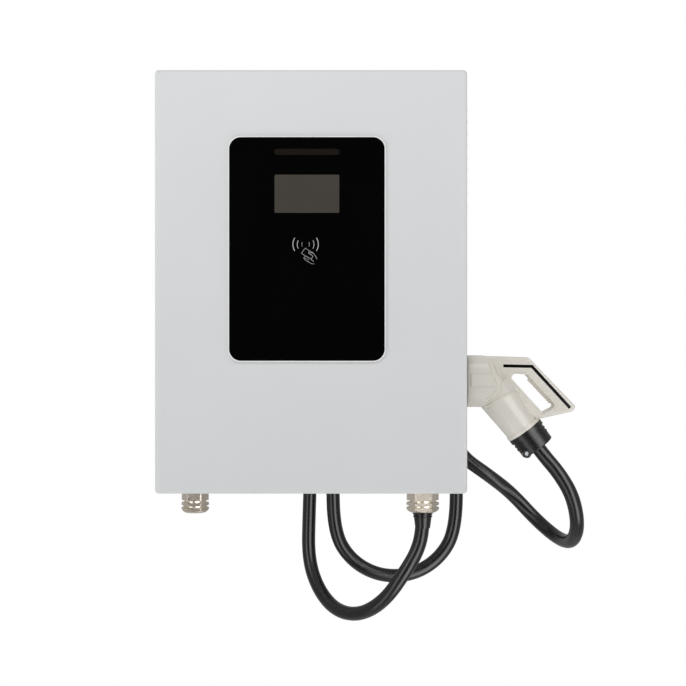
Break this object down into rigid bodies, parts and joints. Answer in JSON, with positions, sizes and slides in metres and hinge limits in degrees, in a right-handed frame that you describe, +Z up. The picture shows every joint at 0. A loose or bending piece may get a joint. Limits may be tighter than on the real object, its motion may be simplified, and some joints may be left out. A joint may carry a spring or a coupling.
{
  "type": "ev wallbox",
  "caption": "Wall-hung electric vehicle charger: white sheet-steel cabinet with a hinged door and black panel, glands below, and a tethered cream charging gun in a side holster.",
  "frame": {"origin": "centre of the four wall bolts, on the wall plane", "axes": "+Z up, +Y into the wall, so the door faces -Y and +X is to the right as seen from the front"},
  "size_m": [0.6563, 0.2985, 0.8413],
  "materials": {
    "white_powder_coat": "fine satin powder coat",
    "black_panel": "back-painted gloss sheet",
    "smoked_lens": "smoked clear plastic",
    "nickel_plate": "bright nickel plate",
    "cable_jacket": "satin black jacket",
    "cream_plastic": "moulded, half gloss",
    "black_plastic": "moulded, fine grain",
    "seal_rubber": "soft foam and rubber",
    "zinc_steel": "zinc plated",
    "finned_aluminium": "extruded",
    "silvered_brass": "silver plated",
    "circuit_board": "solder mask",
    "grey_plastic": "moulded",
    "dark_plastic": "moulded",
    "fuse_ceramic": "unglazed body",
    "filter_mat": "open fibre mat"
  },
  "bodies": {
    "cabinet": {"cabinet_shell": "white_powder_coat", "gland_bodies": "nickel_plate", "gland_nuts": "nickel_plate", "gland_locknuts": "nickel_plate", "lock_barrel": "nickel_plate", "charging_cable": "cable_jacket", "cable_sleeve": "cable_jacket", "cable_inner_end": "cable_jacket", "dc_leads": "cable_jacket", "gun_shell_front": "cream_plastic", "gun_shell_rear": "cream_plastic", "gun_stripes": "black_plastic", "gun_cap": "black_plastic", "gun_nose": "black_plastic", "gun_holster": "black_plastic", "fan_frames": "black_plastic", "cable_saddle": "black_plastic", "supply_seal": "seal_rubber", "output_seal": "seal_rubber", "mounting_plate": "zinc_steel", "plate_studs": "zinc_steel", "frame_bolts": "zinc_steel", "din_rail": "zinc_steel", "module_brackets": "zinc_steel", "power_module_case": "zinc_steel", "hinge_body_leaves": "zinc_steel", "hinge_pins": "zinc_steel", "upper_wall_rail": "zinc_steel", "lower_wall_rail": "zinc_steel", "gun_cap_screw": "zinc_steel", "power_module_heatsink": "finned_aluminium", "gun_contacts": "silvered_brass", "earth_bar": "silvered_brass", "busbars": "silvered_brass", "input_breaker": "grey_plastic", "surge_protector": "grey_plastic", "auxiliary_supply": "grey_plastic", "terminal_block": "grey_plastic", "input_contactor": "grey_plastic", "dc_contactors": "dark_plastic", "dc_fuse": "fuse_ceramic", "filter_pads": "filter_mat"},
    "door": {"front_door": "white_powder_coat", "door_gasket": "seal_rubber", "front_panel": "black_panel", "panel_cover": "black_plastic", "light_bar": "smoked_lens", "display_window": "smoked_lens", "display_module": "dark_plastic", "light_board": "circuit_board", "reader_board": "circuit_board", "control_board": "circuit_board", "hinge_door_leaves": "zinc_steel", "lock_keeper": "zinc_steel"},
    "lock": {"lock_core": "nickel_plate", "lock_cam": "zinc_steel"},
    "fan_left": {"fan_rotor_left": "black_plastic"},
    "fan_right": {"fan_rotor_right": "black_plastic"},
    "main_switch": {"breaker_toggle": "dark_plastic"},
    "trigger": {"release_trigger": "cream_plastic"}
  },
  "joints": [
    {"name": "door_hinge", "type": "hinge", "parent": "cabinet", "child": "door", "pos_m": [-0.222, -0.278, -0.2], "axis": [0, 0, -1], "range_deg": [0, 110]},
    {"name": "lock_turn", "type": "hinge", "parent": "cabinet", "child": "lock", "pos_m": [0.2, -0.25, -0.18], "axis": [-1, 0, 0], "range_deg": [0, 90]},
    {"name": "fan_left_spin", "type": "hinge", "parent": "cabinet", "child": "fan_left", "pos_m": [-0.143, -0.148, -0.28], "axis": [0, 0, 1], "continuous": true},
    {"name": "fan_right_spin", "type": "hinge", "parent": "cabinet", "child": "fan_right", "pos_m": [-0.031, -0.148, -0.28], "axis": [0, 0, 1], "continuous": true},
    {"name": "main_switch_throw", "type": "hinge", "parent": "cabinet", "child": "main_switch", "pos_m": [-0.164, -0.1645, -0.405], "axis": [1, 0, 0], "range_deg": [0, 70]},
    {"name": "trigger_press", "type": "slide", "parent": "cabinet", "child": "trigger", "axis": [0.7291, 0, 0.6844], "range_m": [0, 0.0025], "stiffness_N_per_m": 400}
  ]
}
